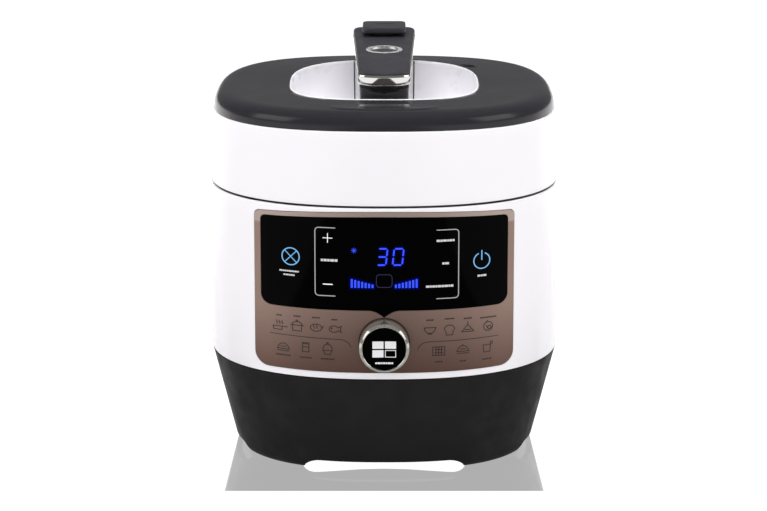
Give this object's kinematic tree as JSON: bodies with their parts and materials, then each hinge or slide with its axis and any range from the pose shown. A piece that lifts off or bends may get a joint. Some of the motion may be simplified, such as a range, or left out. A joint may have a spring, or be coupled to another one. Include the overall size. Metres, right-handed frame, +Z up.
{
  "type": "electric pressure cooker",
  "caption": "Rounded-square electric pressure cooker with a rear-hinged domed lid, bar handle over a finger dish, steam valve, touch panel and menu dial.",
  "frame": {"origin": "on the floor plane under the centre of the casing", "axes": "+Z up, +X to the right seen from the front, -Y towards the front with the control panel"},
  "size_m": [0.3054, 0.332, 0.3612],
  "materials": {
    "white_gloss": "gloss",
    "base_charcoal": "fine satin",
    "lid_charcoal": "gloss",
    "soft_touch": "soft touch",
    "chrome": "polished",
    "steel": "brushed",
    "bronze": "metallic satin",
    "panel_glass": "mirror gloss",
    "grey_plastic": "satin",
    "circuit_board": "satin",
    "rubber": "matte",
    "silicone": "satin",
    "brass": "satin",
    "aluminium": "cast",
    "pot_coating": "satin non-stick",
    "smoke_plastic": "translucent gloss"
  },
  "bodies": {
    "body": {"base_housing": "base_charcoal", "bottom_cover": "grey_plastic", "base_screw_1": "steel", "base_screw_2": "steel", "base_screw_3": "steel", "base_screw_4": "steel", "foot_front_left": "rubber", "foot_front_right": "rubber", "foot_back_left": "rubber", "foot_back_right": "rubber", "body_shell": "white_gloss", "fascia_frame": "bronze", "display_glass": "panel_glass", "control_board": "circuit_board", "display_module": "grey_plastic", "encoder_switch": "grey_plastic", "power_board": "circuit_board", "transformer": "aluminium", "pressure_switch": "brass", "power_inlet": "base_charcoal", "inlet_blade_line": "brass", "inlet_blade_neutral": "brass", "inlet_blade_earth": "brass", "outer_pot": "steel", "inner_pot": "pot_coating", "heating_plate": "aluminium", "sensor_spring": "steel", "spring_seat": "steel", "locking_flange": "steel", "top_collar": "grey_plastic", "hinge_bracket": "base_charcoal", "hinge_pin": "steel", "cup_holder": "base_charcoal"},
    "sensor": {"temperature_sensor": "aluminium"},
    "dial": {"dial_ring": "chrome"},
    "menu_button": {"menu_button": "panel_glass"},
    "cup": {"condensate_cup": "smoke_plastic"},
    "lid": {"lid_shell": "white_gloss", "lid_top_panel": "lid_charcoal", "recess_bowl": "white_gloss", "handle_base": "lid_charcoal", "handle_band": "chrome", "handle_cover": "soft_touch", "button_ring": "chrome", "badge_plate": "lid_charcoal", "lid_liner": "grey_plastic", "pressure_plate": "steel", "plate_post": "steel", "sealing_ring": "silicone", "ring_guide_1": "steel", "ring_guide_2": "steel", "ring_guide_3": "steel", "steam_pipe": "steel", "steam_guard": "steel", "float_bushing": "base_charcoal", "lid_hinge_arm": "base_charcoal"},
    "locking_ring": {"locking_ring": "steel"},
    "float": {"float_valve": "steel"},
    "handle_button": {"handle_button": "grey_plastic"},
    "valve": {"pressure_valve": "base_charcoal"}
  },
  "joints": [
    {"name": "lid_hinge", "type": "hinge", "parent": "body", "child": "lid", "pos_m": [0, 0.153, 0.24], "axis": [-1, 0, 0], "range_deg": [0, 85]},
    {"name": "locking_ring_turn", "type": "hinge", "parent": "lid", "child": "locking_ring", "pos_m": [0, 0, 0.232], "axis": [0, 0, 1], "range_deg": [0, 30]},
    {"name": "float_valve_rise", "type": "slide", "parent": "lid", "child": "float", "axis": [0, 0, 1], "range_m": [0, 0.0025]},
    {"name": "handle_button_press", "type": "slide", "parent": "lid", "child": "handle_button", "axis": [0, 0, -1], "range_m": [0, 0.0025], "stiffness_N_per_m": 300, "springref_m": -0.002},
    {"name": "pressure_valve_turn", "type": "hinge", "parent": "lid", "child": "valve", "pos_m": [0, 0.062, 0.357], "axis": [0, 0, 1], "range_deg": [0, 45]},
    {"name": "dial_turn", "type": "hinge", "parent": "body", "child": "dial", "pos_m": [0, -0.1462, 0.1205], "axis": [0, -1, 0], "continuous": true},
    {"name": "menu_button_press", "type": "slide", "parent": "body", "child": "menu_button", "axis": [0, 1, 0], "range_m": [0, 0.0012], "stiffness_N_per_m": 400, "springref_m": -0.001},
    {"name": "temperature_sensor_press", "type": "slide", "parent": "body", "child": "sensor", "axis": [0, 0, -1], "range_m": [0, 0.002], "stiffness_N_per_m": 400, "springref_m": -0.003, "deforming": ["sensor_spring"]},
    {"name": "condensate_cup_slide", "type": "slide", "parent": "body", "child": "cup", "axis": [0, 1, 0], "range_m": [0, 0.03]}
  ]
}
